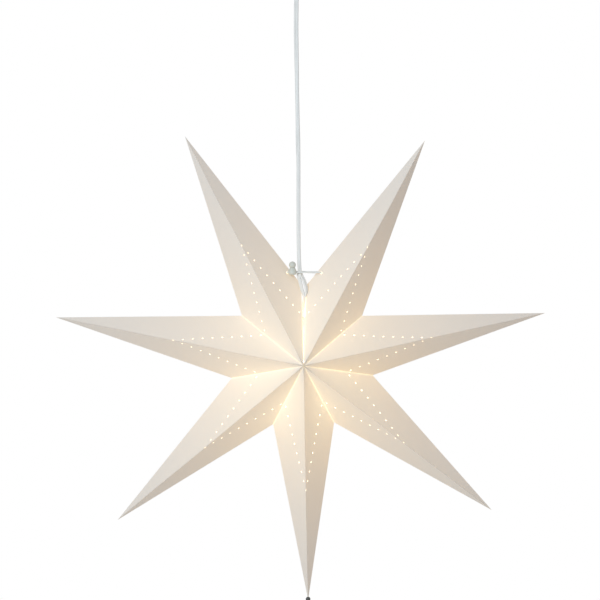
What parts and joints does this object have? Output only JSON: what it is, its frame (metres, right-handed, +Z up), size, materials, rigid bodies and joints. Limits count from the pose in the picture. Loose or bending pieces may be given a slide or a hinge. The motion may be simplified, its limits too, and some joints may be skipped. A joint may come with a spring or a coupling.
{
  "type": "paper advent star",
  "caption": "Flat-folding paper star lantern with long tapering points, pierced with rows of pin holes, hung on its lamp cord from a ceiling cup.",
  "frame": {"origin": "centre of the ceiling cup's ceiling face", "axes": "+Z up to the ceiling, -Y out of the star's front"},
  "size_m": [0.6107, 0.16, 0.832],
  "materials": {
    "paper": "matte white card, lit from inside",
    "elastic": "woven white elastic",
    "white_plastic": "smooth white plastic",
    "dark_bead": "dark glossy bead",
    "cord": "white flexible cord sheath",
    "ceramic": "unglazed white",
    "brass": "plain",
    "steel": "zinc plated",
    "bulb": "frosted white, lit"
  },
  "bodies": {
    "root": {"point_bottom": "paper", "point_lower_right": "paper", "point_right": "paper", "point_upper_right": "paper", "point_upper_left": "paper", "point_left": "paper", "point_lower_left": "paper", "tie_elastic": "elastic", "tie_toggle": "white_plastic", "tip_bead": "dark_bead", "supply_cord": "cord", "holder_cap": "white_plastic", "holder_shell": "white_plastic", "contact_carrier": "ceramic", "screw_shell": "brass", "centre_contact": "brass", "cord_grip": "white_plastic", "grip_screw": "steel", "bulb": "bulb", "ceiling_cup": "white_plastic", "ceiling_bracket": "steel", "cup_screws": "steel", "ceiling_gland": "white_plastic", "gland_nut": "white_plastic", "terminal_block": "white_plastic", "terminal_screws": "brass"}
  },
  "joints": []
}
